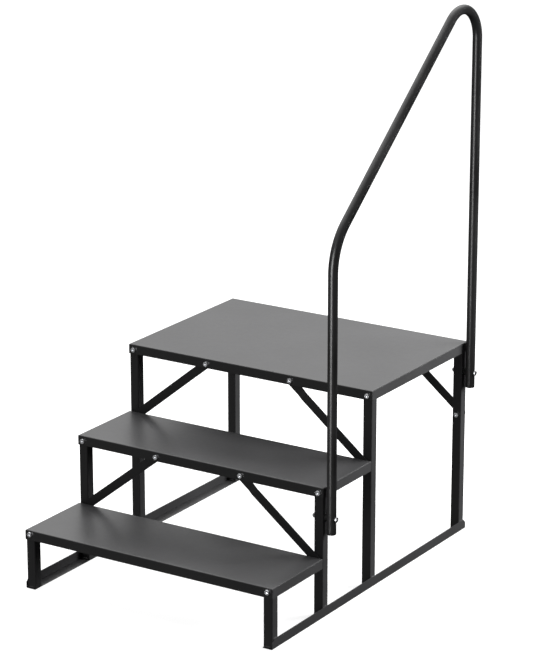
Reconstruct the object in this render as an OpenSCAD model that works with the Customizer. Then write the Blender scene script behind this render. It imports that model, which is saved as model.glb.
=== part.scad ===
// Three-step mounting block with one bent handrail. Two welded side frames of square tube on
// angle rails carry three folded sheet treads. Flat braces stiffen the frames, and every joint
// between a frame, a tread, a brace and the handrail is bolted.
// +X is the rider's right going up, +Y runs from the lowest tread to the back, +Z is up.

/* [Steps] */
// Outside width of the treads and the platform
tread_w = 600; // [450:5:800]
// Distance from the front of one tread to the front of the next
going = 188.4; // [160:0.1:260]
// Height of the lower tread above the floor
first_rise = 128; // [100:0.5:180]
// Height from each tread to the next one up
rise = 149.7; // [125:0.1:200]
// Depth of the platform, from its front to its back
platform_d = 403.4; // [250:0.1:600]

/* [Folded sheet] */
// Thickness of the sheet
sheet_t = 1.2; // [1:0.1:2]
// Height of the folded edges, measured from the top
fold_h = 21; // [18:0.5:30]
// Inside radius of the folds
fold_in_r = 1; // [0.5:0.1:3]
// Width of the slit left open at each folded corner
corner_gap = 0.6; // [0.2:0.1:1.5]
// Distance of the lower tread's bolt row below its top, where no brace hangs
lower_bolt_drop = 8.6; // [8:0.1:12]

/* [Side frames] */
// Side of the square leg tube
leg_s = 21; // [18:0.5:30]
// Wall of the leg tube
leg_wall = 1.5; // [1:0.1:2.5]
// Inside corner radius of the leg tube
leg_in_r = 0.8; // [0.3:0.1:2]
// Thickness of the floor rail, an angle
rail_t = 1.5; // [1:0.1:3]
// Height of the floor rail's upright flange
rail_h = 21; // [14:0.5:40]
// Length of floor rail ahead of the front leg
rail_front = 2; // [0:0.5:20]
// Length of floor rail behind the rear leg
rail_back = 7; // [0:0.5:20]
// Corner cut off each end of the upright flange
rail_cut = 8; // [2:0.5:12]

/* [Braces] */
// Width of the flat brace bars
brace_w = 19; // [14:0.5:20]
// Thickness of the brace bars
brace_t = 2; // [1:0.1:4]
// Clearance between the round end of a brace and the fold above it
brace_gap = 0.1; // [0.1:0.1:2]
// Distance of a brace's upper bolt from the middle of the tread
brace_x = 103.5; // [60:0.5:160]
// Distance from a brace's upper bolt to its offset bend
offset_at = 32; // [30:1:60]
// Length over which the brace steps across by its own thickness
offset_len = 12; // [4:1:30]

/* [Handrail] */
// Outside diameter of the handrail tube
tube_d = 20; // [16:0.5:28]
// Wall of the handrail tube
tube_wall = 1.5; // [1:0.1:3]
// Gap between the legs and the handrail tube, held by a saddle
standoff = 3.3; // [2:0.1:10]
// Height of the front corner, where the upright and the slope would meet, above the middle tread
corner_above = 495.3; // [350:0.1:700]
// Angle of the slope above level
slope = 38.9; // [30:0.1:45]
// Middle radius of the front bend
front_bend_r = 120; // [60:1:150]
// Middle radius of the tight bend at the top
top_bend_r = 70; // [40:1:90]
// Amount that the tube's radius draws in round its bends
bend_draw = 0.25; // [0.2:0.05:0.4]
// Distance of the rear upright behind the middle of the rear leg
rear_shift = 3; // [-3:0.5:4]
// Distance of each handrail bolt below the bolt row of the tread beside it
rail_bolt_drop = 53.7; // [35:0.1:90]
// Length of tube below its bolt
tube_end = 31; // [22:0.5:60]
// Diameter of the saddle spacers
saddle_d = 16; // [12:0.5:18]
// Thickness of the cap of an end plug
plug_cap = 2; // [1:0.1:6]
// Chamfer round the cap of an end plug
plug_cut = 0.8; // [0.3:0.1:1]
// Depth of an end plug inside the tube
plug_in = 14; // [6:0.5:16]

/* [Fasteners] */
// Diameter of the bolts
bolt_d = 6; // [5:0.5:8]
// Clearance all round a bolt in its hole
hole_gap = 0.3; // [0.1:0.05:0.6]
// Diameter of the domed bolt head
head_d = 10.5; // [9:0.1:12]
// Height of the domed bolt head
head_h = 3.3; // [2.5:0.1:5]
// Diameter of the flat on top of the bolt head
head_flat_d = 5.6; // [5:0.1:7]
// Size across the flats of the hexagon socket
socket_af = 4; // [3:0.5:4]
// Depth of the hexagon socket
socket_deep = 2; // [1:0.1:2.2]
// Diameter of the washers
washer_d = 12; // [11:0.1:12]
// Thickness of the washers
washer_t = 1.2; // [0.8:0.1:2]
// Size across the flats of the nuts
nut_af = 10; // [9:0.5:12]
// Height of the hexagon part of a nut
nut_h = 4.8; // [4:0.1:8]
// Angle of the chamfer round the ends of a nut
nut_chamfer = 30; // [15:1:45]
// Height of the round locking collar on a nut
collar_h = 1.2; // [0.8:0.1:3]
// Wall of the locking collar
collar_wall = 1.2; // [0.6:0.1:1.5]
// Length of bolt that stands past its nut
bolt_past = 1.5; // [0.5:0.1:6]

/* [Hidden] */
$fn = 64;
// Overrun of a cut past the face it opens
over = 1;
LEFT = -1;
RIGHT = 1;
SIDES = [LEFT, RIGHT];
PAINT = [0.09, 0.09, 0.1];
SHEET_PAINT = [0.16, 0.16, 0.17];
ZINC = [0.8, 0.81, 0.83];
PLASTIC = [0.03, 0.03, 0.03];

// Treads, counted upwards: 0 is the lower tread, 1 the middle tread, 2 the platform
fold_r = fold_in_r + sheet_t;
tops = [for (i = [0:2]) first_rise + i * rise];
fronts = [for (i = [0:2]) i * going];
tread_d = going + sheet_t - brace_t;
depths = [tread_d, tread_d, platform_d];
bolt_drop = fold_r + brace_gap + brace_w / 2;
bolt_drops = [lower_bolt_drop, bolt_drop, bolt_drop];
bolt_rows = tops - bolt_drops;
platform_back = fronts[2] + platform_d;

// Legs, counted from the front, end below the curve of the folds and have bolts in leg_rows
leg_face_x = tread_w / 2 - sheet_t;
leg_x = leg_face_x - leg_s / 2;
rear_leg_y = platform_back - sheet_t - brace_t - leg_s;
leg_fronts = [for (f = fronts) f + sheet_t, rear_leg_y];
leg_tops = [for (i = [0, 1, 2, 2]) tops[i] - fold_r];
leg_rows = [[0], [0, 1], [1, 2], [1, 2]];
leg_r = leg_in_r + leg_wall;

// Floor rails
rail_y0 = leg_fronts[0] - rail_front;
rail_y1 = rear_leg_y + leg_s + rail_back;
rail_w = rail_t + leg_s;

// Handrail, which stands beside the second leg and the rear leg on the right
tube_r = tube_d / 2;
tube_x = leg_face_x + standoff + tube_r;
post_y = [leg_fronts[1] + leg_s / 2, rear_leg_y + leg_s / 2 + rear_shift];
post_bolt_z = [for (i = [1, 2]) bolt_rows[i] - rail_bolt_drop];
post_z0 = [for (z = post_bolt_z) z - tube_end];
corner_h = tops[1] + corner_above;
top_corner_h = corner_h + tan(slope) * (post_y[1] - post_y[0]);
front_tangent = front_bend_r * tan((90 - slope) / 2);
top_tangent = top_bend_r * tan((90 + slope) / 2);
slope_run = (post_y[1] - post_y[0]) / cos(slope) - front_tangent - top_tangent;
// Straight tube carried on past the start of each bend, and the taper after it
bend_lap = 0.5;
bend_taper = 3.5;

// Fasteners
hole_d = bolt_d + 2 * hole_gap;
head_ball_z = (pow(head_flat_d / 2, 2) + pow(head_h, 2) - pow(head_d / 2, 2)) / (2 * head_h);
head_ball_r = norm([head_d / 2, head_ball_z]);
hex_round = cos(30);
stack_past = washer_t + nut_h + collar_h + bolt_past;

// Bolts along Y: each is [x, y of the face under its head, z, direction, thickness gripped]
grip_front = sheet_t + leg_s;
grip_back = sheet_t + brace_t + leg_s;
grip_brace = sheet_t + brace_t;
grip_foot = leg_s + brace_t;
lower_set = [for (s = SIDES) each [
    [s * leg_x, fronts[0], bolt_rows[0], 1, grip_front],
    [s * leg_x, fronts[0] + tread_d - sheet_t, bolt_rows[0], 1, grip_back]]];
middle_set = [for (s = SIDES) each [
    [s * leg_x, fronts[1], bolt_rows[1], 1, grip_front],
    [s * leg_x, fronts[1] + tread_d - sheet_t, bolt_rows[1], 1, grip_back]]];
platform_set = [for (s = SIDES) each [
    [s * leg_x, fronts[2], bolt_rows[2], 1, grip_front],
    [s * leg_x, platform_back, bolt_rows[2], -1, grip_back]]];
brace_set = [for (s = SIDES) each [
    [s * brace_x, fronts[1], bolt_rows[1], 1, grip_brace],
    [s * brace_x, fronts[2], bolt_rows[2], 1, grip_brace],
    [s * brace_x, platform_back, bolt_rows[2], -1, grip_brace]]];
foot_set = [for (s = SIDES) [s * leg_x, rear_leg_y, bolt_rows[1], 1, grip_foot]];
grip_post = tube_d + standoff + leg_s;

// The origin lies on the floor at the middle of the whole block
box_x = [-leg_face_x - rail_t, tube_x + tube_r + head_h];
box_y0 = min(rail_y0, -head_h);
box_y1 = max(rail_y1, platform_back + head_h, rear_leg_y + grip_foot + stack_past);
middle = [(box_x[0] + box_x[1]) / 2, (box_y0 + box_y1) / 2, 0];

// Moves a piece from the working frame, measured from the lower tread, to the block's origin
module placed() {
    translate(-middle) children();
}

// A hole or bar along Y, from y0 to y1
module along_y(x, z, y0, y1, d) {
    translate([x, y0, z]) rotate([-90, 0, 0]) cylinder(d = d, h = y1 - y0);
}

// A hole or bar along X, from x0 to x1
module along_x(y, z, x0, x1, d) {
    translate([x0, y, z]) rotate([0, 90, 0]) cylinder(d = d, h = x1 - x0);
}

// Square outline with round corners, centred
module round_square(s, r) {
    square([s, s - 2 * r], center = true);
    square([s - 2 * r, s], center = true);
    for (x = SIDES, y = SIDES) {
        translate([x, y] * (s / 2 - r)) circle(r = r);
    }
}

// Outline w wide and h high, centred on X, with its two top corners round
module round_top(w, h, r) {
    translate([-w / 2, 0]) square([w, h - r]);
    translate([r - w / 2, 0]) square([w - 2 * r, h]);
    for (s = SIDES) {
        translate([s * (w / 2 - r), h - r]) circle(r = r);
    }
}

// Block w wide, d deep and h high with round top edges, its front on Y = 0
module soft_block(w, d, h, r) {
    intersection() {
        translate([0, d, 0]) rotate([90, 0, 0]) linear_extrude(d) round_top(w, h, r);
        translate([-w / 2, d / 2, 0]) rotate([90, 0, 90]) linear_extrude(w) round_top(d, h, r);
    }
}

// Tread i: a folded pan with bolt holes at front_x in its front and back_x in its back
module pan(i, front_x, back_x) {
    d = depths[i];
    bolt_z = fold_h - bolt_drops[i];
    translate([0, fronts[i], tops[i] - fold_h]) difference() {
        soft_block(tread_w, d, fold_h, fold_r);
        translate([0, sheet_t, -over]) {
            soft_block(tread_w - 2 * sheet_t, d - 2 * sheet_t, fold_h - sheet_t + over, fold_in_r);
        }
        for (s = SIDES, y = [sheet_t, d - sheet_t - corner_gap]) {
            translate([s * (tread_w - sheet_t) / 2, y + corner_gap / 2, (fold_h - fold_r) / 2]) {
                cube([2 * sheet_t, corner_gap, fold_h - fold_r], center = true);
            }
        }
        for (x = front_x) along_y(x, bolt_z, -over, sheet_t + over, hole_d);
        for (x = back_x) along_y(x, bolt_z, d - sheet_t - over, d + over, hole_d);
    }
}

module tread(i) {
    ends = [-leg_x, leg_x];
    braces = [-brace_x, brace_x];
    front_x = i == 0 ? ends : concat(ends, braces);
    back_x = i == 2 ? concat(ends, braces) : ends;
    placed() color(SHEET_PAINT) pan(i, front_x, back_x);
}

// Leg i, counted from the front, standing on its floor rail
module leg(i, side) {
    y0 = leg_fronts[i];
    post = side == RIGHT ? (i == 1 ? 0 : i == 3 ? 1 : undef) : undef;
    placed() color(PAINT) difference() {
        translate([side * leg_x, y0 + leg_s / 2, rail_t]) linear_extrude(leg_tops[i] - rail_t) {
            difference() {
                round_square(leg_s, leg_r);
                round_square(leg_s - 2 * leg_wall, leg_in_r);
            }
        }
        for (row = leg_rows[i]) {
            along_y(side * leg_x, bolt_rows[row], y0 - over, y0 + leg_s + over, hole_d);
        }
        if (!is_undef(post)) {
            along_x(post_y[post], post_bolt_z[post], leg_face_x - leg_s - over, leg_face_x + over, hole_d);
        }
    }
}

// Outline of the angle, with its outside corner at the origin and its flat flange along +X
module angle_outline() {
    translate([rail_t, 0]) square([rail_w - rail_t, rail_t]);
    translate([0, rail_t]) square([rail_t, rail_h - rail_t]);
    intersection() {
        translate([rail_t, rail_t]) circle(r = rail_t);
        square(rail_t);
    }
}

// Right-hand floor rail: the upright flange is outside the legs, the flat one under them
module rail() {
    outside = leg_face_x + rail_t;
    difference() {
        translate([outside, rail_y1, 0]) mirror([1, 0, 0]) rotate([90, 0, 0]) {
            linear_extrude(rail_y1 - rail_y0) angle_outline();
        }
        for (end = [[rail_y0, 1], [rail_y1, -1]]) {
            translate([outside - rail_t - over, end[0], rail_h]) rotate([90, 0, 90]) {
                linear_extrude(rail_t + 2 * over) polygon([
                    [-end[1] * over, -rail_cut - over], [end[1] * (rail_cut + over), over],
                    [-end[1] * over, over]]);
            }
        }
    }
}

module floor_rail(side) {
    placed() color(PAINT) mirror([side == LEFT ? 1 : 0, 0, 0]) rail();
}

// Flat bar between two bolts, seen edge on: it starts on Y = 0 and steps to Y = step
module brace_edge(length, step) {
    r = brace_w / 2;
    bend = length - offset_at;
    polygon([[-r, 0], [bend - offset_len, 0], [bend, step], [length + r, step],
        [length + r, step + brace_t], [bend, step + brace_t],
        [bend - offset_len, brace_t], [-r, brace_t]]);
}

// Right-hand brace from the leg bolt up to the tread bolt; y is the front of its lower end
module brace(y, low_z, high_z, step) {
    run = leg_x - brace_x;
    length = norm([run, high_z - low_z]);
    translate([leg_x, y, low_z]) rotate([0, -atan2(high_z - low_z, -run), 0]) difference() {
        intersection() {
            translate([0, 0, -brace_w / 2]) linear_extrude(brace_w) brace_edge(length, step);
            translate([0, brace_t + step, 0]) rotate([90, 0, 0]) linear_extrude(brace_t + step) {
                translate([0, -brace_w / 2]) square([length, brace_w]);
                for (x = [0, length]) translate([x, 0]) circle(d = brace_w);
            }
        }
        for (x = [0, length]) along_y(x, 0, -over, brace_t + step + over, hole_d);
    }
}

// Brace pair 0 stands on the second legs, pair 1 on the third legs
module front_brace(i, side) {
    placed() color(PAINT) mirror([side == LEFT ? 1 : 0, 0, 0]) {
        brace(leg_fronts[i + 1] - brace_t, bolt_rows[i], bolt_rows[i + 1], brace_t);
    }
}

module rear_brace(side) {
    placed() color(PAINT) mirror([side == LEFT ? 1 : 0, 0, 0]) {
        brace(rear_leg_y + leg_s, bolt_rows[1], bolt_rows[2], 0);
    }
}

// Straight bar from z0 to z1, with a taper past its upper end that is buried in the bend
module straight_run(r, z0, z1) {
    translate([0, 0, z0]) cylinder(r = r, h = z1 - z0);
    translate([0, 0, z1]) cylinder(r1 = r, r2 = r - 2 * bend_draw, h = bend_taper);
}

// Solid bar of radius r along the handrail, drawn with X across the block's depth and Y up
module rail_run(r, extra) {
    bend_z = corner_h - front_tangent;
    top_z = top_corner_h - top_tangent;
    for (end = [[0, bend_z], [1, top_z]]) {
        translate([post_y[end[0]], 0]) rotate([-90, 0, 0]) {
            straight_run(r, post_z0[end[0]] - extra, end[1] + bend_lap);
        }
    }
    translate([post_y[0] + front_bend_r, bend_z]) rotate(90 + slope) {
        rotate_extrude(angle = 90 - slope) translate([front_bend_r, 0]) circle(r = r - bend_draw);
    }
    translate([post_y[0] + front_tangent * cos(slope), corner_h + front_tangent * sin(slope)]) {
        rotate(slope) translate([slope_run / 2, 0]) for (turn = [-90, 90]) {
            rotate([0, turn, 0]) straight_run(r, 0, slope_run / 2 + bend_lap);
        }
    }
    translate([post_y[1] - top_bend_r, top_z]) {
        rotate_extrude(angle = 90 + slope) translate([top_bend_r, 0]) circle(r = r - bend_draw);
    }
}

module handrail() {
    placed() color(PAINT) difference() {
        translate([tube_x, 0, 0]) rotate([90, 0, 90]) difference() {
            rail_run(tube_r, 0);
            rail_run(tube_r - tube_wall, over);
        }
        for (i = [0, 1]) {
            along_x(post_y[i], post_bolt_z[i], tube_x - tube_r - over, tube_x + tube_r + over, hole_d);
        }
    }
}

// Round spacer between the flat leg and the round tube, hollowed to seat on the tube
module handrail_saddle(i) {
    placed() color(PLASTIC) difference() {
        along_x(post_y[i], post_bolt_z[i], leg_face_x, tube_x, saddle_d);
        translate([tube_x, post_y[i], post_bolt_z[i] - saddle_d]) cylinder(r = tube_r, h = 2 * saddle_d);
        along_x(post_y[i], post_bolt_z[i], leg_face_x - over, tube_x, hole_d);
    }
}

// Plug pushed into the open lower end of a handrail post
module handrail_plug(i) {
    placed() color(PLASTIC) translate([tube_x, post_y[i], post_z0[i]]) {
        translate([0, 0, -plug_cap / 2]) cylinder(r = tube_r - tube_wall, h = plug_in + plug_cap / 2);
        translate([0, 0, -plug_cap]) intersection() {
            cylinder(r = tube_r, h = plug_cap);
            cylinder(r1 = tube_r - plug_cut, r2 = tube_r - plug_cut + plug_cap, h = plug_cap);
        }
    }
}

// Domed bolt along +Z, with the face under its head on Z = 0
module bolt(grip) {
    cylinder(d = bolt_d, h = grip + stack_past);
    difference() {
        intersection() {
            translate([0, 0, -head_ball_z]) sphere(r = head_ball_r);
            translate([0, 0, -head_h]) cylinder(d = head_d, h = head_h);
        }
        translate([0, 0, -head_h - over]) {
            cylinder(d = socket_af / hex_round, h = socket_deep + over, $fn = 6);
        }
    }
}

module washer(thick) {
    difference() {
        cylinder(d = washer_d, h = thick);
        translate([0, 0, -over]) cylinder(d = hole_d, h = thick + 2 * over);
    }
}

// Locking nut, its hexagon first and its collar outermost, with chamfered corners
module nut() {
    cone_d = nut_af + 2 * nut_h / tan(nut_chamfer);
    difference() {
        union() {
            intersection() {
                cylinder(d = nut_af / hex_round, h = nut_h, $fn = 6);
                cylinder(d1 = nut_af, d2 = cone_d, h = nut_h);
                cylinder(d1 = cone_d, d2 = nut_af, h = nut_h);
            }
            cylinder(d = bolt_d + 2 * collar_wall, h = nut_h + collar_h);
        }
        translate([0, 0, -over]) cylinder(d = bolt_d, h = nut_h + collar_h + 2 * over);
    }
}

// Puts a piece at each bolt of a set, at its own distance past the face under the head
module at_each(set, past_grip) {
    placed() color(ZINC) for (b = set) {
        translate([b[0], b[1], b[2]]) rotate([-90 * b[3], 0, 0]) {
            translate([0, 0, b[4] + past_grip]) children();
        }
    }
}

// The bolts of a set have the same length within each gripped thickness
module bolts(set) {
    placed() color(ZINC) for (b = set) {
        translate([b[0], b[1], b[2]]) rotate([-90 * b[3], 0, 0]) bolt(b[4]);
    }
}

module washers(set) {
    at_each(set, 0) washer(washer_t);
}

module nuts(set) {
    at_each(set, washer_t) nut();
}

// Fills the gap between the rear legs and the back of the platform, where no brace runs
module platform_spacers() {
    placed() color(ZINC) for (s = SIDES) {
        translate([s * leg_x, rear_leg_y + leg_s, bolt_rows[2]]) rotate([-90, 0, 0]) washer(brace_t);
    }
}

// Puts a piece at each handrail bolt, which points from outside the tube through the leg
module at_posts(past) {
    placed() color(ZINC) for (i = [0, 1]) {
        translate([tube_x + tube_r - past, post_y[i], post_bolt_z[i]]) rotate([0, -90, 0]) children();
    }
}

floor_rail(LEFT);  // floor_rail_left
floor_rail(RIGHT);  // floor_rail_right
leg(0, LEFT);  // front_leg_left
leg(0, RIGHT);  // front_leg_right
leg(1, LEFT);  // second_leg_left
leg(1, RIGHT);  // second_leg_right
leg(2, LEFT);  // third_leg_left
leg(2, RIGHT);  // third_leg_right
leg(3, LEFT);  // rear_leg_left
leg(3, RIGHT);  // rear_leg_right
tread(0);  // lower_tread
tread(1);  // middle_tread
tread(2);  // platform
front_brace(0, LEFT);  // lower_brace_left
front_brace(0, RIGHT);  // lower_brace_right
front_brace(1, LEFT);  // upper_brace_left
front_brace(1, RIGHT);  // upper_brace_right
rear_brace(LEFT);  // rear_brace_left
rear_brace(RIGHT);  // rear_brace_right
handrail();
handrail_saddle(0);  // handrail_saddle_front
handrail_saddle(1);  // handrail_saddle_rear
handrail_plug(0);  // handrail_plug_front
handrail_plug(1);  // handrail_plug_rear
bolts(lower_set);  // lower_tread_bolts
washers(lower_set);  // lower_tread_washers
nuts(lower_set);  // lower_tread_nuts
bolts(middle_set);  // middle_tread_bolts
washers(middle_set);  // middle_tread_washers
nuts(middle_set);  // middle_tread_nuts
bolts(platform_set);  // platform_bolts
washers(platform_set);  // platform_washers
nuts(platform_set);  // platform_nuts
platform_spacers();
bolts(brace_set);  // brace_bolts
washers(brace_set);  // brace_washers
nuts(brace_set);  // brace_nuts
bolts(foot_set);  // rear_foot_bolts
washers(foot_set);  // rear_foot_washers
nuts(foot_set);  // rear_foot_nuts
at_posts(0) bolt(grip_post);  // handrail_bolts
at_posts(grip_post) washer(washer_t);  // handrail_washers
at_posts(grip_post + washer_t) nut();  // handrail_nuts
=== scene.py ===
"""Looks of a three-step mounting block with one handrail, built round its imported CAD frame.

The legs, floor rails, treads, braces, saddles, nuts, washers and spacers are the CAD solids,
dressed here. The handrail tube, its end plugs, the bolts and the weld beads are modelled here
with bmesh operators, and stand where the CAD solids are.
"""

import logging
import math
from dataclasses import dataclass
from enum import Enum

import bmesh
import bpy
from mathutils import Matrix, Vector


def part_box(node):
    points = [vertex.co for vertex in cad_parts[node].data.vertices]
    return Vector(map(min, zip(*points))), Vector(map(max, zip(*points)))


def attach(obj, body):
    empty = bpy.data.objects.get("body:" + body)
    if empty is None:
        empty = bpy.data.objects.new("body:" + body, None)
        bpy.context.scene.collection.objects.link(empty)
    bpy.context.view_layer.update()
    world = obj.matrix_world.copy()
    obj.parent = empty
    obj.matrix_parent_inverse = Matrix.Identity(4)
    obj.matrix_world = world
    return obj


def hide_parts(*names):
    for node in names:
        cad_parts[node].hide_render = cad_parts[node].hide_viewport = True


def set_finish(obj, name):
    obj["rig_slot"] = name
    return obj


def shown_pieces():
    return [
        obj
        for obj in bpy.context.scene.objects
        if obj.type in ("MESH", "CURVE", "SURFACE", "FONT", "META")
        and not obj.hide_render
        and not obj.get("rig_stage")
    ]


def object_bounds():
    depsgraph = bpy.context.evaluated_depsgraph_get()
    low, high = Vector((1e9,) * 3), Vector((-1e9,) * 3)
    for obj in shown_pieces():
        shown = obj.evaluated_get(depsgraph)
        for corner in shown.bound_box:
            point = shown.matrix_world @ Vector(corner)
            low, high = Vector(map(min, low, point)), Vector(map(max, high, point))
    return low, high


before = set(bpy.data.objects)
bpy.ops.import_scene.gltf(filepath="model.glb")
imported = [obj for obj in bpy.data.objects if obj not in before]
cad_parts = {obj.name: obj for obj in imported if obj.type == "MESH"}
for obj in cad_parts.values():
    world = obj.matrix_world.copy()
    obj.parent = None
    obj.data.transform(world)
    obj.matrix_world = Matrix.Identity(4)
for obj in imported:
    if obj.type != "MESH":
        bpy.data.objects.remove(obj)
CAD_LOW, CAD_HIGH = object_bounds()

Colour = tuple[float, float, float]
Span = tuple[float, float]
Socket = bpy.types.NodeSocket
Mesh = bmesh.types.BMesh

LOG = logging.getLogger("mounting_block")
BODY = "root"
MM = 0.001
UP = Vector((0, 0, 1))
MERGE = 1e-6
SIDES = ("left", "right")
ENDS = ("front", "rear")
WHITE = (1, 1, 1, 1)
NOISE_SPAN = (0.3, 0.7)
EDGE_SPAN = (0.995, 0.8)


class Slot(Enum):
    """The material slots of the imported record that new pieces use."""

    FRAME = "frame_steel"
    TUBE = "handrail_tube"
    PLASTIC = "black_plastic"
    BOLT = "zinc_bolt"
    NUT = "zinc_nut"


class Part(Enum):
    """What a fastener group is made of."""

    BOLT = "bolts"
    WASHER = "washers"
    NUT = "nuts"
    SPACER = "spacers"


# ---------------------------------------------------------------- nodes


class Nodes:
    """Adds nodes to one tree."""

    def __init__(self, tree: bpy.types.NodeTree) -> None:
        """Keep the tree."""
        self.tree = tree

    def add(self, kind: str, **settings: object) -> bpy.types.Node:
        """Add a node and set its properties.

        Args:
            kind: The node's type name.
            **settings: Properties of the node.

        Returns:
            The new node.
        """
        node = self.tree.nodes.new(kind)
        for key, value in settings.items():
            setattr(node, key, value)
        return node

    def link(self, output: Socket, target: Socket) -> None:
        """Join two sockets."""
        self.tree.links.new(output, target)

    def ramp(
        self, value: Socket, span: Span, low: float, high: float, curve: str = "LINEAR"
    ) -> Socket:
        """Turn a span of a value into low..high, held outside it.

        Args:
            value: The value read.
            span: The inputs that give low and high.
            low: Output at the start of the span.
            high: Output at its end.
            curve: The Map Range node's interpolation.

        Returns:
            The turned value.
        """
        node = self.add("ShaderNodeMapRange", clamp=True, interpolation_type=curve)
        self.link(value, node.inputs["Value"])
        node.inputs["From Min"].default_value, node.inputs["From Max"].default_value = span
        node.inputs["To Min"].default_value = low
        node.inputs["To Max"].default_value = high
        return node.outputs["Result"]

    def math(self, operation: str, first: Socket, second: Socket | float) -> Socket:
        """One sum on two values.

        Args:
            operation: The Math node's operation.
            first: The first value.
            second: The second value, a socket or a number.

        Returns:
            The result.
        """
        node = self.add("ShaderNodeMath", operation=operation)
        self.link(first, node.inputs[0])
        if isinstance(second, (int, float)):
            node.inputs[1].default_value = second
        else:
            self.link(second, node.inputs[1])
        return node.outputs["Value"]


class Painter(Nodes):
    """Adds the nodes that the finishes share to one material."""

    def __init__(self, material: bpy.types.Material) -> None:
        """Find the shader and read Object coordinates.

        Args:
            material: The material, with its nodes on.
        """
        super().__init__(material.node_tree)
        self.shader = next(n for n in self.tree.nodes if n.type == "BSDF_PRINCIPLED")
        self.place = self.add("ShaderNodeTexCoord").outputs["Object"]

    def put(self, value: Socket, name: str) -> None:
        """Join a value to one of the shader's sockets."""
        self.link(value, self.shader.inputs[name])

    def noise(self, scale: float, detail: float) -> Socket:
        """Noise over the object.

        Args:
            scale: Spots per metre.
            detail: Layers of finer noise.

        Returns:
            The noise value, about 0.5.
        """
        texture = self.add("ShaderNodeTexNoise")
        texture.inputs["Scale"].default_value = scale
        texture.inputs["Detail"].default_value = detail
        self.link(self.place, texture.inputs["Vector"])
        return texture.outputs["Fac"]

    def mix(self, share: Socket, first: Colour, second: Colour) -> Socket:
        """Blend two colours.

        Args:
            share: 0 gives the first colour, 1 the second.
            first: A linear colour.
            second: A linear colour.

        Returns:
            The blended colour.
        """
        node = self.add("ShaderNodeMix", data_type="RGBA")
        self.link(share, node.inputs["Factor"])
        node.inputs[6].default_value = (*first, 1)
        node.inputs[7].default_value = (*second, 1)
        return node.outputs[2]

    def edges(self, radius: float) -> Socket:
        """How near a sharp outer edge a point is: 0 on a flat face, up to about 1 on an edge.

        Args:
            radius: Reach from the edge, in metres.

        Returns:
            The share.
        """
        rounded = self.add("ShaderNodeBevel", samples=6)
        rounded.inputs["Radius"].default_value = radius
        true = self.add("ShaderNodeNewGeometry")
        dot = self.add("ShaderNodeVectorMath", operation="DOT_PRODUCT")
        self.link(rounded.outputs["Normal"], dot.inputs[0])
        self.link(true.outputs["True Normal"], dot.inputs[1])
        return self.ramp(dot.outputs["Value"], EDGE_SPAN, 0.0, 1.0)

    def bump(self, layers: list[tuple[Socket, float]]) -> None:
        """Stack bumps and give them to the shader.

        Args:
            layers: Pairs of height (0 to 1) and depth in metres, at least one.
        """
        last = None
        for height, depth in layers:
            node = self.add("ShaderNodeBump")
            node.inputs["Strength"].default_value = 1.0
            node.inputs["Distance"].default_value = depth
            self.link(height, node.inputs["Height"])
            if last is not None:
                self.link(last, node.inputs["Normal"])
            last = node.outputs["Normal"]
        self.put(last, "Normal")


# ---------------------------------------------------------------- finishes


@dataclass(frozen=True)
class Finish:
    """A surface finish. Each kind adds its own nodes in dress().

    The same finish always gives the same material.
    """

    name: str
    colour: Colour
    roughness: float
    metallic: float = 0.0
    ior: float = 1.5

    def material(self) -> bpy.types.Material:
        """Make the material, or find it if it is there.

        Returns:
            The material, with its nodes.
        """
        found = bpy.data.materials.get(self.name)
        if found:
            return found
        made = bpy.data.materials.new(self.name)
        made.use_nodes = True
        painter = Painter(made)
        painter.shader.inputs["Metallic"].default_value = self.metallic
        painter.shader.inputs["IOR"].default_value = self.ior
        self.dress(painter)
        return made

    def dress(self, painter: Painter) -> None:
        """Set the plain colour and roughness.

        Args:
            painter: Helper that adds nodes to the material.
        """
        painter.shader.inputs["Base Color"].default_value = (*self.colour, 1)
        painter.shader.inputs["Roughness"].default_value = self.roughness


@dataclass(frozen=True)
class PaleFloor(Finish):
    """A matt floor with a glow of its own, so that it stays pale and even."""

    glow: float = 0.86

    def dress(self, painter: Painter) -> None:
        """Set the plain colour and the glow.

        Args:
            painter: Helper that adds nodes to the material.
        """
        super().dress(painter)
        painter.shader.inputs["Emission Color"].default_value = WHITE
        painter.shader.inputs["Emission Strength"].default_value = self.glow


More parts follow.
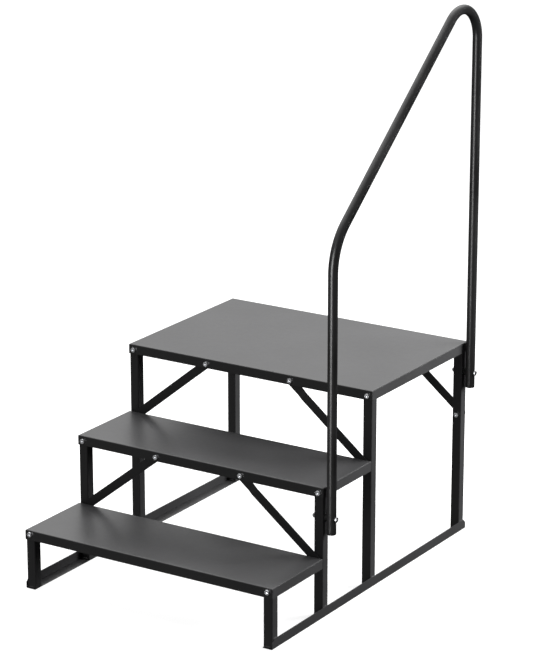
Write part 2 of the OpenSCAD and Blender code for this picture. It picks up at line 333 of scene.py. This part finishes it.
@dataclass(frozen=True)
class PowderCoat(Finish):
    """Baked powder coat: fine orange peel, slightly uneven gloss, thinner on sharp edges."""

    peel_scale: float = 620.0
    peel_depth: float = 0.012 * MM
    grit_finer: float = 5.0
    grit_depth: float = 0.003 * MM
    cloud_scale: float = 7.0
    patch_scale: float = 90.0
    patch_span: Span = (0.42, 0.62)
    wear_colour: Colour = (0.075, 0.075, 0.078)
    wear: float = 0.5
    least_wear: float = 0.15
    wear_radius: float = 0.7 * MM
    drift: float = 0.12
    cloud_gloss: float = 0.02
    patch_gloss: float = 0.015
    polish: float = 0.08

    def dress(self, painter: Painter) -> None:
        """Add colour drift, gloss drift, edge wear and the peel.

        Args:
            painter: Helper that adds nodes to the material.
        """
        peel = painter.noise(self.peel_scale, 1.5)
        grit = painter.noise(self.peel_scale * self.grit_finer, 1.0)
        cloud = painter.noise(self.cloud_scale, 3.0)
        patch = painter.noise(self.patch_scale, 4.0)

        patchy = painter.ramp(patch, self.patch_span, self.least_wear, self.wear)
        worn = painter.math("MULTIPLY", painter.edges(self.wear_radius), patchy)
        drift = painter.ramp(cloud, NOISE_SPAN, 0.0, self.drift)
        paler = painter.math("MAXIMUM", worn, drift)
        painter.put(painter.mix(paler, self.colour, self.wear_colour), "Base Color")

        wide = painter.ramp(cloud, NOISE_SPAN, -self.cloud_gloss, self.cloud_gloss)
        fine = painter.ramp(patch, NOISE_SPAN, -self.patch_gloss, self.patch_gloss)
        rough = painter.math("ADD", painter.math("ADD", wide, fine), self.roughness)
        rubbed = painter.math("MULTIPLY", worn, self.polish)
        painter.put(painter.math("SUBTRACT", rough, rubbed), "Roughness")
        painter.bump([(peel, self.peel_depth), (grit, self.grit_depth)])


@dataclass(frozen=True)
class ZincPlate(Finish):
    """Bright zinc plate: fine grain, faint clouds and duller pits."""

    cloud_scale: float = 260.0
    cloud_span: Span = (0.35, 0.7)
    gloss_span: Span = (0.3, 0.75)
    brighter: float = 0.04
    duller: float = 0.1
    dull_colour: Colour = (0.62, 0.63, 0.65)
    grain_scale: float = 2600.0
    grain: float = 0.004 * MM

    def dress(self, painter: Painter) -> None:
        """Add clouds to the colour and gloss, and a fine grain.

        Args:
            painter: Helper that adds nodes to the material.
        """
        cloud = painter.noise(self.cloud_scale, 4.0)
        grain = painter.noise(self.grain_scale, 2.0)
        share = painter.ramp(cloud, self.cloud_span, 0.0, 1.0)
        painter.put(painter.mix(share, self.colour, self.dull_colour), "Base Color")
        bright, dull = self.roughness - self.brighter, self.roughness + self.duller
        painter.put(painter.ramp(cloud, self.gloss_span, bright, dull), "Roughness")
        painter.bump([(grain, self.grain)])


@dataclass(frozen=True)
class MouldedPlastic(Finish):
    """Moulded polypropylene with a fine spark-eroded grain."""

    cloud_scale: float = 60.0
    sheen: float = 0.05
    paler: float = 1.8
    grain_scale: float = 1500.0
    grain: float = 0.015 * MM

    def dress(self, painter: Painter) -> None:
        """Add the grain and an uneven sheen.

        Args:
            painter: Helper that adds nodes to the material.
        """
        grain = painter.noise(self.grain_scale, 3.0)
        cloud = painter.noise(self.cloud_scale, 2.0)
        lighter = tuple(c * self.paler for c in self.colour)
        share = painter.ramp(cloud, NOISE_SPAN, 0.0, 1.0)
        painter.put(painter.mix(share, self.colour, lighter), "Base Color")
        shiny, dull = self.roughness - self.sheen, self.roughness + self.sheen
        painter.put(painter.ramp(cloud, NOISE_SPAN, shiny, dull), "Roughness")
        painter.bump([(grain, self.grain)])


FRAME_COAT = PowderCoat("satin_black_frame_coat", (0.02, 0.02, 0.0205), 0.36)
SHEET_COAT = PowderCoat(
    "satin_black_tread_coat", (0.026, 0.026, 0.0265), 0.34, peel_depth=0.01 * MM
)
TUBE_COAT = PowderCoat("gloss_black_handrail_coat", (0.003, 0.003, 0.003), 0.33, wear=0.2)
WELD_COAT = PowderCoat(
    "coated_weld_bead", (0.026, 0.026, 0.027), 0.42, peel_scale=900.0, peel_depth=0.04 * MM
)
BOLT_ZINC = ZincPlate("bright_zinc_bolt", (0.86, 0.87, 0.89), 0.26, metallic=1.0)
NUT_ZINC = ZincPlate("zinc_nut_and_washer", (0.78, 0.79, 0.8), 0.34, metallic=1.0)
PLUG_PLASTIC = MouldedPlastic("black_end_plug_plastic", (0.008, 0.008, 0.008), 0.42)
FLOOR_PAINT = PaleFloor("pale_floor", (0.25, 0.25, 0.25), 0.9)


# ---------------------------------------------------------------- shared mesh work


def new_piece(
    name: str, mesh: Mesh, finish: Finish, slot: Slot, sharp: float = 35.0
) -> bpy.types.Object:
    """Turn a bmesh into a finished piece that rides on the block.

    Args:
        name: Name of the piece.
        mesh: The shape, in place, in metres. It is freed.
        finish: The piece's finish.
        slot: The record's material slot.
        sharp: Angle in degrees above which an edge stays crisp.

    Returns:
        The new object.
    """
    bmesh.ops.remove_doubles(mesh, verts=mesh.verts[:], dist=MERGE)
    bmesh.ops.recalc_face_normals(mesh, faces=mesh.faces[:])
    data = bpy.data.meshes.new(name)
    mesh.to_mesh(data)
    mesh.free()
    data.materials.append(finish.material())
    data.shade_smooth()
    data.set_sharp_from_angle(angle=math.radians(sharp))
    piece = bpy.data.objects.new(name, data)
    bpy.context.scene.collection.objects.link(piece)
    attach(piece, BODY)
    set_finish(piece, slot.value)
    return piece


def dress_node(name: str, finish: Finish) -> None:
    """Give a CAD node its finish.

    Args:
        name: The node.
        finish: Its finish.
    """
    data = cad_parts[name].data
    made = finish.material()
    if data.materials:
        for index in range(len(data.materials)):
            data.materials[index] = made
    else:
        data.materials.append(made)
    LOG.info("dressed %s in %s", name, finish.name)


def turned_to(axis: Vector) -> Matrix:
    """Rotation that turns +Z onto an axis."""
    return UP.rotation_difference(axis).to_matrix().to_4x4()


def ring_edges(verts: list) -> list:
    """The edges that join a ring's verts."""
    inside = set(verts)
    near = {e for v in verts for e in v.link_edges}
    return [e for e in near if all(v in inside for v in e.verts)]


def extruded(mesh: Mesh, ring: list, move: Vector) -> list:
    """Extrude a ring along a line.

    Args:
        mesh: The bmesh.
        ring: The ring's verts.
        move: How far it goes.

    Returns:
        The verts of the ring at the far end.
    """
    grown = bmesh.ops.extrude_edge_only(mesh, edges=ring_edges(ring))["geom"]
    far = [g for g in grown if isinstance(g, bmesh.types.BMVert)]
    bmesh.ops.translate(mesh, vec=move, verts=far)
    return far


def capped(mesh: Mesh, ring: list) -> None:
    """Close a ring with one face."""
    bmesh.ops.contextual_create(mesh, geom=ring_edges(ring))


def lathe(mesh: Mesh, outline: list[tuple[float, float]], steps: int) -> list:
    """Spin an outline of (radius, height) pairs round +Z at the origin.

    Args:
        mesh: The bmesh that the shape is added to.
        outline: The outline, from one end of the axis to the other.
        steps: Faces round the shape.

    Returns:
        The new verts.
    """
    before = set(mesh.verts)
    verts = [mesh.verts.new((radius, 0, height)) for radius, height in outline]
    edges = [mesh.edges.new(pair) for pair in zip(verts, verts[1:])]
    bmesh.ops.spin(
        mesh,
        geom=verts + edges,
        cent=(0, 0, 0),
        axis=UP,
        angle=math.tau,
        steps=steps,
        use_merge=True,
    )
    made = [v for v in mesh.verts if v not in before]
    bmesh.ops.remove_doubles(mesh, verts=made, dist=MERGE)
    return [v for v in mesh.verts if v not in before]


@dataclass
class Island:
    """One separate solid of a CAD node, measured from its mesh."""

    low: Vector
    high: Vector
    points: list[Vector]

    @property
    def centre(self) -> Vector:
        """Middle of the solid's box."""
        return (self.low + self.high) / 2

    @property
    def size(self) -> Vector:
        """Sides of the solid's box."""
        return self.high - self.low

    def long_axis(self) -> int:
        """Index of the longest side."""
        return max(range(3), key=lambda i: self.size[i])


def islands(node: str) -> list[Island]:
    """Find the separate solids of a CAD node.

    Args:
        node: The CAD node.

    Returns:
        The solids, in the order of their lowest corners.
    """
    copy = bmesh.new()
    copy.from_mesh(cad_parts[node].data)
    bmesh.ops.remove_doubles(copy, verts=copy.verts[:], dist=MERGE * 10)
    copy.verts.ensure_lookup_table()
    seen: set[int] = set()
    found = []
    for start in copy.verts:
        if start.index in seen:
            continue
        seen.add(start.index)
        queue, points = [start], []
        while queue:
            vert = queue.pop()
            points.append(vert.co.copy())
            for edge in vert.link_edges:
                other = edge.other_vert(vert)
                if other.index not in seen:
                    seen.add(other.index)
                    queue.append(other)
        low = Vector(min(p[i] for p in points) for i in range(3))
        high = Vector(max(p[i] for p in points) for i in range(3))
        found.append(Island(low, high, points))
    copy.free()
    return sorted(found, key=lambda solid: tuple(round(x, 5) for x in solid.low))


# ---------------------------------------------------------------- side frames


@dataclass
class SideFrame:
    """One welded side frame: an angle rail on the floor and four legs, with their weld beads."""

    side: str
    legs: tuple[str, ...] = ("front_leg", "second_leg", "third_leg", "rear_leg")
    rail_wall: float = 1.5 * MM
    bead_radius: float = 2.4 * MM
    bead_sides: int = 10
    bead_rings: int = 15
    ripple: float = 0.13
    tip: float = 0.25
    blunt: float = 0.04
    fullness: float = 0.35
    sunk: float = 0.35
    top_sunk: float = 0.07
    end_inset: float = 0.12
    clear_below: float = 0.1 * MM

    def dress(self) -> None:
        """Give the rail and the legs their coat."""
        dress_node(f"floor_rail_{self.side}", FRAME_COAT)
        for leg in self.legs:
            dress_node(f"{leg}_{self.side}", FRAME_COAT)

    def bead(self, mesh: Mesh, start: Vector, end: Vector) -> None:
        """Lay one rippled weld bead.

        Args:
            mesh: The bmesh that the bead is added to.
            start: One end of the bead's middle line.
            end: The other end.
        """
        along = end - start
        step = along / self.bead_rings
        ring = bmesh.ops.create_circle(
            mesh, cap_ends=False, segments=self.bead_sides, radius=self.bead_radius
        )["verts"]
        place = Matrix.Translation(start) @ turned_to(along.normalized())
        bmesh.ops.transform(mesh, matrix=place, verts=ring)
        self.pinch(mesh, ring, start, self.tip)
        tail, last_scale = ring, self.tip
        for index in range(1, self.bead_rings + 1):
            tail = extruded(mesh, tail, step)
            share = min(max(index / self.bead_rings, self.blunt), 1 - self.blunt)
            dome = math.sin(math.pi * share) ** self.fullness
            scale = (1 + self.ripple * math.cos(index * math.pi)) * dome
            self.pinch(mesh, tail, start + step * index, scale / last_scale)
            last_scale = scale
        for loop in (ring, tail):
            capped(mesh, loop)

    def pinch(self, mesh: Mesh, verts: list, middle: Vector, scale: float) -> None:
        """Scale a ring about its middle."""
        space = Matrix.Translation(-middle)
        bmesh.ops.scale(mesh, vec=Vector((scale,) * 3), space=space, verts=verts)

    def build(self) -> None:
        """Lay the beads before and behind each leg, and over the rail's upright flange."""
        mesh = bmesh.new()
        rail_low, rail_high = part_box(f"floor_rail_{self.side}")
        reach = self.bead_radius * (1 + self.ripple)
        sink = self.bead_radius * self.sunk
        seam_z = rail_low.z + reach + self.clear_below
        flange_z = rail_high.z - self.bead_radius * self.top_sunk
        for leg in self.legs:
            low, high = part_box(f"{leg}_{self.side}")
            inset = (high.x - low.x) * self.end_inset
            x0, x1 = low.x + inset, high.x - inset
            y0, y1 = low.y + inset, high.y - inset
            for y in (low.y + sink, high.y - sink):
                self.bead(mesh, Vector((x0, y, seam_z)), Vector((x1, y, seam_z)))
            inward = reach - self.rail_wall
            x = low.x + inward if self.side == "left" else high.x - inward
            self.bead(mesh, Vector((x, y0, flange_z)), Vector((x, y1, flange_z)))
        new_piece(f"weld_beads_{self.side}", mesh, WELD_COAT, Slot.FRAME, sharp=60)
        LOG.info("laid weld beads, %s", self.side)


# ---------------------------------------------------------------- treads and braces


@dataclass
class Treads:
    """The three folded sheet treads, which are the CAD pans in their coat."""

    names: tuple[str, ...] = ("lower_tread", "middle_tread", "platform")

    def dress(self) -> None:
        """Give each tread its coat."""
        for name in self.names:
            dress_node(name, SHEET_COAT)


@dataclass
class Braces:
    """The six flat brace bars, which are the CAD bars in their coat."""

    rows: tuple[str, ...] = ("lower_brace", "upper_brace", "rear_brace")

    def dress(self) -> None:
        """Give each brace its coat."""
        for row in self.rows:
            for side in SIDES:
                dress_node(f"{row}_{side}", FRAME_COAT)


# ---------------------------------------------------------------- handrail


@dataclass
class Handrail:
    """One bent round tube with saddles against the legs and plugs in its open ends."""

    radius: float = 10 * MM
    wall: float = 1.5 * MM
    front_bend: float = 120 * MM
    top_bend: float = 70 * MM
    slope: float = math.radians(38.9)
    corner_above: float = 495.3 * MM
    around: int = 56
    front_steps: int = 28
    top_steps: int = 48
    plug_around: int = 48
    plug_depth: float = 14 * MM
    plug_flange: float = 2 * MM
    plug_round: float = 1.6 * MM
    round_steps: int = 5
    ribs: int = 3
    rib_outline: tuple[Span, ...] = ((0.4, 0.88), (0.65, 1.0), (0.8, 1.0), (1.0, 0.88))
    core: float = 0.86

    def dress(self) -> None:
        """Give the saddles their plastic."""
        for which in ENDS:
            dress_node(f"handrail_saddle_{which}", PLUG_PLASTIC)

    def build(self) -> None:
        """Build the tube and its two plugs."""
        mesh = bmesh.new()
        outer = self.sweep(mesh, self.radius)
        inner = self.sweep(mesh, self.radius - self.wall)
        for outside, inside in zip(outer, inner):
            bmesh.ops.bridge_loops(mesh, edges=ring_edges(outside) + ring_edges(inside))
        tube = new_piece("handrail_tube", mesh, TUBE_COAT, Slot.TUBE)
        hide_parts("handrail")
        LOG.info("built the handrail tube, %d faces", len(tube.data.polygons))
        for which in ENDS:
            self.build_plug(which)

    def post(self, which: str) -> Vector:
        """Middle of a post's open lower end, from its plug.

        Args:
            which: "front" or "rear".

        Returns:
            The point.
        """
        low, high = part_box(f"handrail_plug_{which}")
        return Vector(((low.x + high.x) / 2, (low.y + high.y) / 2, low.z + self.plug_flange))

    def sweep(self, mesh: Mesh, radius: float) -> tuple[list, list]:
        """Sweep a circle up the front post, along the slope and down the rear post.

        Args:
            mesh: The bmesh that the wall is added to.
            radius: Radius of the circle.

        Returns:
            The verts of the first and the last ring.
        """
        front, rear = self.post("front"), self.post("rear")
        span = rear.y - front.y
        front_turn = math.pi / 2 - self.slope
        top_turn = math.pi / 2 + self.slope
        front_cut = self.front_bend * math.tan(front_turn / 2)
        top_cut = self.top_bend * math.tan(top_turn / 2)
        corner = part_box("middle_tread")[1].z + self.corner_above
        front_z = corner - front_cut
        rear_z = corner + math.tan(self.slope) * span - top_cut
        run = span / math.cos(self.slope) - front_cut - top_cut
        uphill = Vector((0, math.cos(self.slope), math.sin(self.slope)))

        first = bmesh.ops.create_circle(
            mesh, segments=self.around, radius=radius, matrix=Matrix.Translation(front)
        )["verts"]
        ring = extruded(mesh, first, UP * (front_z - front.z))
        centre = Vector((front.x, front.y + self.front_bend, front_z))
        ring = self.bend(mesh, ring, centre, front_turn, self.front_steps)
        ring = extruded(mesh, ring, uphill * run)
        centre = Vector((rear.x, rear.y - self.top_bend, rear_z))
        ring = self.bend(mesh, ring, centre, top_turn, self.top_steps)
        last = extruded(mesh, ring, UP * (rear.z - rear_z))
        return first, last

    def bend(self, mesh: Mesh, ring: list, centre: Vector, angle: float, steps: int) -> list:
        """Spin a ring round a bend, from front to rear.

        Args:
            mesh: The bmesh.
            ring: The ring's verts.
            centre: A point on the bend's axis.
            angle: Angle of the bend.
            steps: Rings in the bend.

        Returns:
            The verts of the ring at the far end.
        """
        done = bmesh.ops.spin(
            mesh,
            geom=list(ring) + ring_edges(ring),
            cent=centre,
            axis=Vector((-1, 0, 0)),
            angle=angle,
            steps=steps,
            use_merge=False,
        )
        return [g for g in done["geom_last"] if isinstance(g, bmesh.types.BMVert)]

    def plug_outline(self) -> list[tuple[float, float]]:
        """Half outline of an end plug: a rounded flange and ribs that grip the bore.

        Returns:
            Pairs of radius and height, with the tube's mouth at height 0.
        """
        bore = self.radius - self.wall
        flat = self.radius - self.plug_round
        outline = [(0, -self.plug_flange), (flat, -self.plug_flange)]
        for index in range(1, self.round_steps + 1):
            turn = index / self.round_steps * math.pi / 2
            height = self.plug_round * (1 - math.cos(turn)) - self.plug_flange
            outline.append((flat + self.plug_round * math.sin(turn), height))
        outline += [(self.radius, 0), (bore, 0)]
        pitch = self.plug_depth / (self.ribs + 1)
        for index in range(self.ribs):
            outline += [(bore * reach, pitch * (index + at)) for at, reach in self.rib_outline]
        return outline + [(bore * self.core, self.plug_depth), (0, self.plug_depth)]

    def build_plug(self, which: str) -> None:
        """Spin one end plug in its mouth of the tube.

        Args:
            which: "front" or "rear".
        """
        mesh = bmesh.new()
        verts = lathe(mesh, self.plug_outline(), self.plug_around)
        bmesh.ops.translate(mesh, vec=self.post(which), verts=verts)
        plug = new_piece(f"end_plug_{which}", mesh, PLUG_PLASTIC, Slot.PLASTIC)
        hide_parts(f"handrail_plug_{which}")
        LOG.info("built the %s end plug", which)


# ---------------------------------------------------------------- fasteners


@dataclass
class Fasteners:
    """One group of fasteners. Bolts are built where the CAD bolts are, the rest is dressed."""

    group: str
    part: Part
    around: int = 30
    head: float = 5.25 * MM
    head_height: float = 3.3 * MM
    head_flat: float = 2.8 * MM
    side_steps: int = 7
    seat_side: float = 0.25 * MM
    seat_break: float = 0.1 * MM
    seat_inset: float = 0.15 * MM
    socket: float = 4 * MM
    socket_deep: float = 2 * MM
    shank: float = 3 * MM
    tip: float = 0.4 * MM
    threads: int = 9
    thread_pitch: float = 1 * MM
    thread_depth: float = 0.45 * MM
    root_span: Span = (0.45, 0.55)
    near_end: float = 0.9

    def node(self) -> str:
        """Name of the CAD node."""
        return f"{self.group}_{self.part.value}"

    def build(self) -> None:
        """Build the group's bolts as one piece, or dress its CAD nuts and washers."""
        if self.part is not Part.BOLT:
            dress_node(self.node(), NUT_ZINC)
            return
        mesh = bmesh.new()
        solids = islands(self.node())
        for solid in solids:
            self.bolt(mesh, solid)
        piece = new_piece(f"{self.node()}_domed", mesh, BOLT_ZINC, Slot.BOLT, sharp=32)
        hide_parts(self.node())
        LOG.info("built %d bolts for %s", len(solids), self.group)

    def axis_of(self, solid: Island) -> tuple[Vector, Vector]:
        """Where a bolt's axis starts, at its head, and the way that it points.

        Args:
            solid: The CAD bolt.

        Returns:
            The start of the axis, and its unit direction.
        """
        index = solid.long_axis()
        axis = Vector((0, 0, 0))
        axis[index] = 1
        half = solid.size[index] / 2
        spokes = [p - solid.centre for p in solid.points]

        def spread(end: int) -> float:
            """Widest reach from the axis close to one end."""
            near = [s for s in spokes if s[index] * end > half * self.near_end]
            return max((s - s.dot(axis) * axis).length for s in near)

        direction = axis if spread(-1) >= spread(1) else -axis
        return solid.centre - direction * half, direction

    def outline(self, length: float) -> list[tuple[float, float]]:
        """Half outline of a bolt, from the flat of its head to its tip.

        The side of the head is part of a circle that is widest between the flat and the seat,
        so the head is a short barrel and not a dome.

        Args:
            length: Length of the whole bolt.

        Returns:
            Pairs of radius and height, with the flat at height 0.
        """
        waist = (self.head_flat**2 + self.head_height**2 - self.head**2) / (2 * self.head_height)
        bulge = math.hypot(self.head, waist)
        points = [(self.head_flat, 0)]
        for index in range(self.side_steps):
            height = self.head_height * index / self.side_steps
            rise = self.head_height - height + waist
            points.append((math.sqrt(bulge**2 - rise**2), height))
        points += [
            (self.head, self.head_height - self.seat_side),
            (self.head, self.head_height - self.seat_break),
            (self.head - self.seat_inset, self.head_height),
            (self.shank, self.head_height),
        ]
        root = self.shank - self.thread_depth
        thread_start = length - self.threads * self.thread_pitch - self.tip
        points.append((self.shank, thread_start))
        for index in range(self.threads):
            base = thread_start + index * self.thread_pitch
            points += [(root, base + self.thread_pitch * share) for share in self.root_span]
            points.append((self.shank, base + self.thread_pitch))
        return points + [(self.shank - self.tip, length), (0, length)]

    def bolt(self, mesh: Mesh, solid: Island) -> None:
        """Build a bolt with a hexagon socket and thread ridges.

        The socket stands in the open middle of the head. The flat ring round it is not closed.

        Args:
            mesh: The bmesh that the bolt is added to.
            solid: The CAD bolt.
        """
        start, direction = self.axis_of(solid)
        before = set(mesh.verts)
        lathe(mesh, self.outline(solid.size[solid.long_axis()]), self.around)
        mouth = bmesh.ops.create_circle(mesh, segments=6, radius=self.socket / math.sqrt(3))
        capped(mesh, extruded(mesh, mouth["verts"], UP * self.socket_deep))
        made = [v for v in mesh.verts if v not in before]
        place = Matrix.Translation(start) @ turned_to(direction)
        bmesh.ops.transform(mesh, matrix=place, verts=made)


USUAL_PARTS = (Part.BOLT, Part.WASHER, Part.NUT)
FASTENER_GROUPS = {
    "lower_tread": USUAL_PARTS,
    "middle_tread": USUAL_PARTS,
    "platform": (*USUAL_PARTS, Part.SPACER),
    "brace": USUAL_PARTS,
    "rear_foot": USUAL_PARTS,
    "handrail": USUAL_PARTS,
}


# ---------------------------------------------------------------- studio


def from_middle(azimuth: float, elevation: float) -> Vector:
    """Unit direction from the block's middle.

    Args:
        azimuth: Radians round from the front, towards the block's right.
        elevation: Radians above level.

    Returns:
        The direction.
    """
    level = math.cos(elevation)
    return Vector((math.sin(azimuth) * level, -math.cos(azimuth) * level, math.sin(elevation)))


def middle() -> Vector:
    """Middle of the CAD box."""
    return (CAD_LOW + CAD_HIGH) / 2


@dataclass(frozen=True)
class SoftBox:
    """A rectangular soft light that faces the block. Angles are in degrees, power in watts."""

    name: str
    azimuth: float
    elevation: float
    distance: float
    size: tuple[float, float]
    power: float
    glossy: bool = True
    only: tuple[Slot, ...] = ()

    def build(self) -> None:
        """Hang the light."""
        back = from_middle(math.radians(self.azimuth), math.radians(self.elevation))
        data = bpy.data.lights.new(self.name, "AREA")
        data.shape = "RECTANGLE"
        data.size, data.size_y = self.size
        data.energy = self.power
        light = bpy.data.objects.new(self.name, data)
        light.location = middle() + back * self.distance
        light.rotation_mode = "QUATERNION"
        light.rotation_quaternion = (-back).to_track_quat("-Z", "Y")
        light.visible_camera = False
        light.visible_glossy = self.glossy
        bpy.context.scene.collection.objects.link(light)
        if self.only:
            light.light_linking.receiver_collection = self.receivers()

    def receivers(self) -> bpy.types.Collection:
        """Collect the pieces that the light falls on.

        Returns:
            A collection outside the scene's own tree.
        """
        names = {slot.value for slot in self.only}
        lit = bpy.data.collections.new(f"lit_by_{self.name}")
        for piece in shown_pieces():
            if piece.get("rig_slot") in names:
                lit.objects.link(piece)
        return lit


SOFT_BOXES = (
    SoftBox("front_strip", 4, 2, 2.8, (1.0, 2.2), 90, only=(Slot.TUBE, Slot.BOLT)),
    SoftBox("front_box", 32, 20, 3.0, (4.0, 4.0), 90, only=(Slot.BOLT, Slot.NUT)),
    SoftBox("right_box", 130, 13, 2.3, (1.4, 1.4), 190, glossy=False),
    SoftBox("top_box", 180, 84, 3.0, (2.0, 2.0), 160, glossy=False),
)


@dataclass
class Studio:
    """Pale floor, soft light and the camera. None of it is part of the block."""

    azimuth: float = math.radians(32.383)
    elevation: float = math.radians(17.103)
    distance: float = 5.8783
    aim_right: float = 0.02886
    aim_up: float = -0.06474
    lens: float = 157.91
    clip: Span = (0.1, 100.0)
    floor_size: float = 60.0
    floor_drop: float = 0.5 * MM
    front_sky: float = 0.25
    low_sky: float = 0.47
    high_sky: float = 3.4
    right_sky: float = 0.15
    front_ground: float = 0.26
    back_ground: float = 0.03
    sky_depth: Span = (-0.5, 0.5)
    sky_rise: Span = (0.22, 0.6)
    sky_width: Span = (-0.3, 0.5)
    ground_depth: Span = (-0.6, 0.3)
    horizon: Span = (-0.12, 0.12)

    def build(self) -> None:
        """Make the floor, the world, the camera and the lights."""
        self.build_floor()
        self.build_world()
        self.build_camera()
        for box in SOFT_BOXES:
            box.build()
        view = bpy.context.scene.view_settings
        view.view_transform = "Standard"
        view.look = "None"
        LOG.info("made the studio")

    def build_floor(self) -> None:
        """Lay a pale floor that the block's gloss doesn't pick up."""
        mesh = bmesh.new()
        bmesh.ops.create_grid(mesh, x_segments=1, y_segments=1, size=self.floor_size / 2)
        drop = (0, 0, CAD_LOW.z - self.floor_drop)
        bmesh.ops.translate(mesh, vec=drop, verts=mesh.verts[:])
        data = bpy.data.meshes.new("floor")
        mesh.to_mesh(data)
        mesh.free()
        data.materials.append(FLOOR_PAINT.material())
        floor = bpy.data.objects.new("floor", data)
        bpy.context.scene.collection.objects.link(floor)
        floor.visible_glossy = False
        floor.visible_diffuse = False
        floor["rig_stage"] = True

    def build_world(self) -> None:
        """Light the block from a sky that is bright behind and above, and dim in front.

        The camera itself sees plain white.
        """
        world = bpy.data.worlds.new("studio")
        bpy.context.scene.world = world
        world.use_nodes = True
        nodes = Nodes(world.node_tree)
        nodes.tree.nodes.clear()
        place = nodes.add("ShaderNodeTexCoord")
        parts = nodes.add("ShaderNodeSeparateXYZ")
        nodes.link(place.outputs["Generated"], parts.inputs["Vector"])

        def ramp(axis: str, span: Span, low: float, high: float) -> Socket:
            """Turn one coordinate of the direction into a brightness."""
            return nodes.ramp(parts.outputs[axis], span, low, high, "SMOOTHSTEP")

        deep = ramp("Y", self.sky_depth, self.front_sky, 1.0)
        rising = ramp("Z", self.sky_rise, self.low_sky, self.high_sky)
        wide = ramp("X", self.sky_width, 1.0, self.right_sky)
        sky = nodes.math("MULTIPLY", nodes.math("MULTIPLY", deep, rising), wide)
        ground = ramp("Y", self.ground_depth, self.front_ground, self.back_ground)
        above = nodes.math("MULTIPLY", sky, ramp("Z", self.horizon, 0.0, 1.0))
        below = nodes.math("MULTIPLY", ground, ramp("Z", self.horizon, 1.0, 0.0))

        light = nodes.add("ShaderNodeBackground")
        nodes.link(nodes.math("ADD", above, below), light.inputs["Strength"])
        backdrop = nodes.add("ShaderNodeBackground")
        backdrop.inputs["Color"].default_value = WHITE
        path = nodes.add("ShaderNodeLightPath")
        choose = nodes.add("ShaderNodeMixShader")
        nodes.link(path.outputs["Is Camera Ray"], choose.inputs["Fac"])
        nodes.link(light.outputs["Background"], choose.inputs[1])
        nodes.link(backdrop.outputs["Background"], choose.inputs[2])
        out = nodes.add("ShaderNodeOutputWorld")
        nodes.link(choose.outputs["Shader"], out.inputs["Surface"])

    def build_camera(self) -> None:
        """Stand the camera at the block's front right, a little above it."""
        back = from_middle(self.azimuth, self.elevation)
        turn = (-back).to_track_quat("-Z", "Y")
        aim = middle() + turn @ Vector((self.aim_right, self.aim_up, 0))
        data = bpy.data.cameras.new("camera")
        data.lens = self.lens
        data.clip_start, data.clip_end = self.clip
        camera = bpy.data.objects.new("camera", data)
        camera.rotation_mode = "QUATERNION"
        camera.location = aim + back * self.distance
        camera.rotation_quaternion = turn
        bpy.context.scene.collection.objects.link(camera)
        bpy.context.scene.camera = camera


# ---------------------------------------------------------------- the whole block


def main() -> None:
    """Build and dress the whole block, then the studio round it."""
    logging.basicConfig(level=logging.INFO, format="%(name)s: %(message)s")
    for side in SIDES:
        side_frame = SideFrame(side)
        side_frame.dress()
        side_frame.build()
    Treads().dress()
    Braces().dress()
    handrail = Handrail()
    handrail.dress()
    handrail.build()
    for group, parts in FASTENER_GROUPS.items():
        for part in parts:
            Fasteners(group, part).build()
    Studio().build()


if __name__ == "__main__":
    main()
